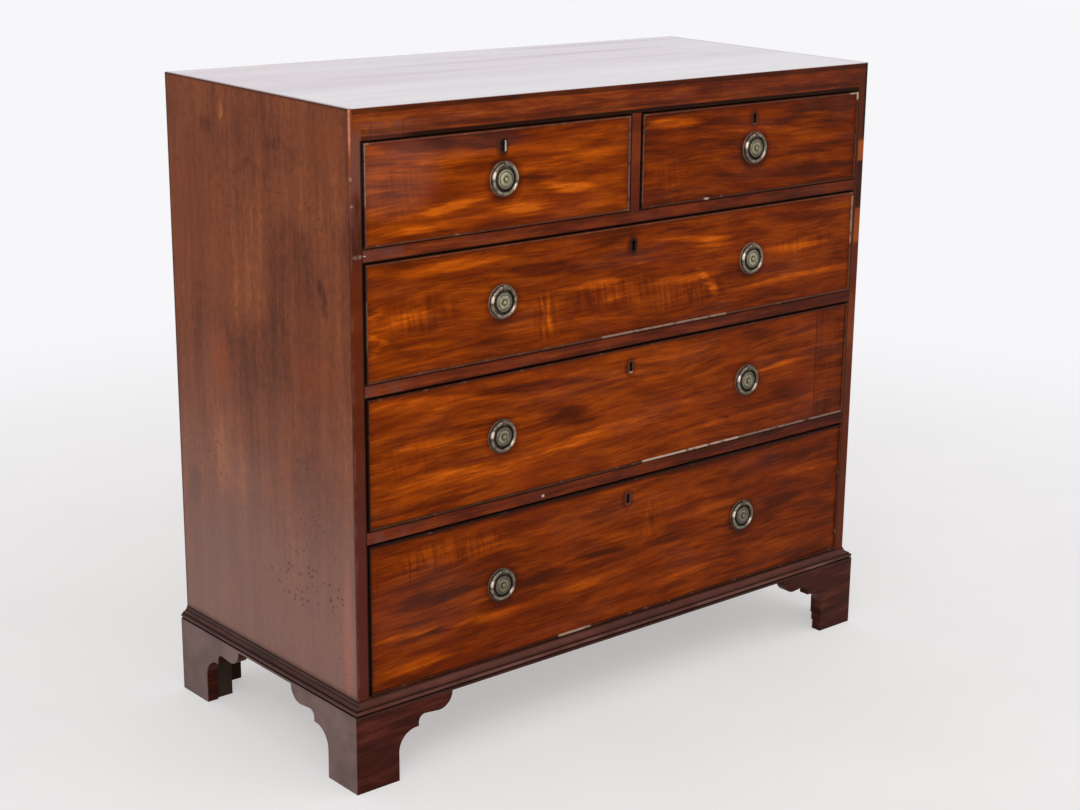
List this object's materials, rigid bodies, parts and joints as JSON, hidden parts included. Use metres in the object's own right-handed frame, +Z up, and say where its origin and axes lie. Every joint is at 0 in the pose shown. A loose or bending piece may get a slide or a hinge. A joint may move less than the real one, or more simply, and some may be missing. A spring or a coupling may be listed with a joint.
{
  "type": "chest of drawers",
  "caption": "Low mahogany chest of drawers with short drawers over long ones, cockbeaded fronts, brass ring pulls, moulded base and shaped bracket feet.",
  "frame": {"origin": "on the floor under the middle of the whole chest", "axes": "+Z up, +X to the right of someone who faces the drawers, -Y out of the drawer fronts"},
  "size_m": [1.064, 0.496, 1],
  "materials": {
    "front_mahogany": "french-polished figured mahogany veneer",
    "case_mahogany": "polished mahogany, worn",
    "base_mahogany": "dark polished mahogany",
    "bead": "dark polished bead",
    "oak": "planed oak, unfinished",
    "pine": "planed pine, unfinished, darkened",
    "aged_brass": "aged brass, dull",
    "lock_brass": "filed brass",
    "steel": "filed iron"
  },
  "bodies": {
    "carcass": {"top_board": "case_mahogany", "left_side": "case_mahogany", "right_side": "case_mahogany", "bottom_board": "case_mahogany", "back_boards": "pine", "top_rail": "case_mahogany", "drawer_rails": "case_mahogany", "drawer_divider": "case_mahogany", "dust_boards": "pine", "runners_and_kickers": "pine", "drawer_stops": "oak", "base_moulding": "base_mahogany", "front_left_foot": "base_mahogany", "front_right_foot": "base_mahogany", "back_left_foot": "base_mahogany", "back_right_foot": "base_mahogany", "foot_blocks": "pine"},
    "short_left_drawer": {"short_left_front": "front_mahogany", "short_left_box": "oak", "short_left_bottom": "oak", "short_left_cock_beads": "bead", "short_left_lock": "lock_brass", "short_left_pulls": "aged_brass"},
    "short_left_pull_ring": {"short_left_ring": "aged_brass"},
    "short_left_lock_bolt": {"short_left_bolt": "steel"},
    "short_right_drawer": {"short_right_front": "front_mahogany", "short_right_box": "oak", "short_right_bottom": "oak", "short_right_cock_beads": "bead", "short_right_lock": "lock_brass", "short_right_pulls": "aged_brass"},
    "short_right_pull_ring": {"short_right_ring": "aged_brass"},
    "short_right_lock_bolt": {"short_right_bolt": "steel"},
    "upper_long_drawer": {"upper_long_front": "front_mahogany", "upper_long_box": "oak", "upper_long_bottom": "oak", "upper_long_cock_beads": "bead", "upper_long_lock": "lock_brass", "upper_long_pulls": "aged_brass"},
    "upper_long_pull_ring_left": {"upper_long_ring_left": "aged_brass"},
    "upper_long_pull_ring_right": {"upper_long_ring_right": "aged_brass"},
    "upper_long_lock_bolt": {"upper_long_bolt": "steel"},
    "middle_long_drawer": {"middle_long_front": "front_mahogany", "middle_long_box": "oak", "middle_long_bottom": "oak", "middle_long_cock_beads": "bead", "middle_long_lock": "lock_brass", "middle_long_pulls": "aged_brass"},
    "middle_long_pull_ring_left": {"middle_long_ring_left": "aged_brass"},
    "middle_long_pull_ring_right": {"middle_long_ring_right": "aged_brass"},
    "middle_long_lock_bolt": {"middle_long_bolt": "steel"},
    "lower_long_drawer": {"lower_long_front": "front_mahogany", "lower_long_box": "oak", "lower_long_bottom": "oak", "lower_long_cock_beads": "bead", "lower_long_lock": "lock_brass", "lower_long_pulls": "aged_brass"},
    "lower_long_pull_ring_left": {"lower_long_ring_left": "aged_brass"},
    "lower_long_pull_ring_right": {"lower_long_ring_right": "aged_brass"},
    "lower_long_lock_bolt": {"lower_long_bolt": "steel"}
  },
  "joints": [
    {"name": "short_left_slide", "type": "slide", "parent": "carcass", "child": "short_left_drawer", "axis": [0, -1, 0], "range_m": [0, 0.37]},
    {"name": "short_left_ring_swing", "type": "hinge", "parent": "short_left_drawer", "child": "short_left_pull_ring", "pos_m": [-0.255, -0.2402, 0.9019], "axis": [-1, 0, 0], "range_deg": [0, 150]},
    {"name": "short_left_bolt_throw", "type": "slide", "parent": "short_left_drawer", "child": "short_left_lock_bolt", "axis": [0, 0, 1], "range_m": [0, 0.008]},
    {"name": "short_right_slide", "type": "slide", "parent": "carcass", "child": "short_right_drawer", "axis": [0, -1, 0], "range_m": [0, 0.37]},
    {"name": "short_right_ring_swing", "type": "hinge", "parent": "short_right_drawer", "child": "short_right_pull_ring", "pos_m": [0.255, -0.2402, 0.9019], "axis": [-1, 0, 0], "range_deg": [0, 150]},
    {"name": "short_right_bolt_throw", "type": "slide", "parent": "short_right_drawer", "child": "short_right_lock_bolt", "axis": [0, 0, 1], "range_m": [0, 0.008]},
    {"name": "upper_long_slide", "type": "slide", "parent": "carcass", "child": "upper_long_drawer", "axis": [0, -1, 0], "range_m": [0, 0.37]},
    {"name": "upper_long_ring_left_swing", "type": "hinge", "parent": "upper_long_drawer", "child": "upper_long_pull_ring_left", "pos_m": [-0.257, -0.2402, 0.7214], "axis": [-1, 0, 0], "range_deg": [0, 150]},
    {"name": "upper_long_ring_right_swing", "type": "hinge", "parent": "upper_long_drawer", "child": "upper_long_pull_ring_right", "pos_m": [0.257, -0.2402, 0.7214], "axis": [-1, 0, 0], "range_deg": [0, 150]},
    {"name": "upper_long_bolt_throw", "type": "slide", "parent": "upper_long_drawer", "child": "upper_long_lock_bolt", "axis": [0, 0, 1], "range_m": [0, 0.008]},
    {"name": "middle_long_slide", "type": "slide", "parent": "carcass", "child": "middle_long_drawer", "axis": [0, -1, 0], "range_m": [0, 0.37]},
    {"name": "middle_long_ring_left_swing", "type": "hinge", "parent": "middle_long_drawer", "child": "middle_long_pull_ring_left", "pos_m": [-0.257, -0.2402, 0.5164], "axis": [-1, 0, 0], "range_deg": [0, 150]},
    {"name": "middle_long_ring_right_swing", "type": "hinge", "parent": "middle_long_drawer", "child": "middle_long_pull_ring_right", "pos_m": [0.257, -0.2402, 0.5164], "axis": [-1, 0, 0], "range_deg": [0, 150]},
    {"name": "middle_long_bolt_throw", "type": "slide", "parent": "middle_long_drawer", "child": "middle_long_lock_bolt", "axis": [0, 0, 1], "range_m": [0, 0.008]},
    {"name": "lower_long_slide", "type": "slide", "parent": "carcass", "child": "lower_long_drawer", "axis": [0, -1, 0], "range_m": [0, 0.37]},
    {"name": "lower_long_ring_left_swing", "type": "hinge", "parent": "lower_long_drawer", "child": "lower_long_pull_ring_left", "pos_m": [-0.257, -0.2402, 0.2809], "axis": [-1, 0, 0], "range_deg": [0, 150]},
    {"name": "lower_long_ring_right_swing", "type": "hinge", "parent": "lower_long_drawer", "child": "lower_long_pull_ring_right", "pos_m": [0.257, -0.2402, 0.2809], "axis": [-1, 0, 0], "range_deg": [0, 150]},
    {"name": "lower_long_bolt_throw", "type": "slide", "parent": "lower_long_drawer", "child": "lower_long_lock_bolt", "axis": [0, 0, 1], "range_m": [0, 0.008]}
  ]
}
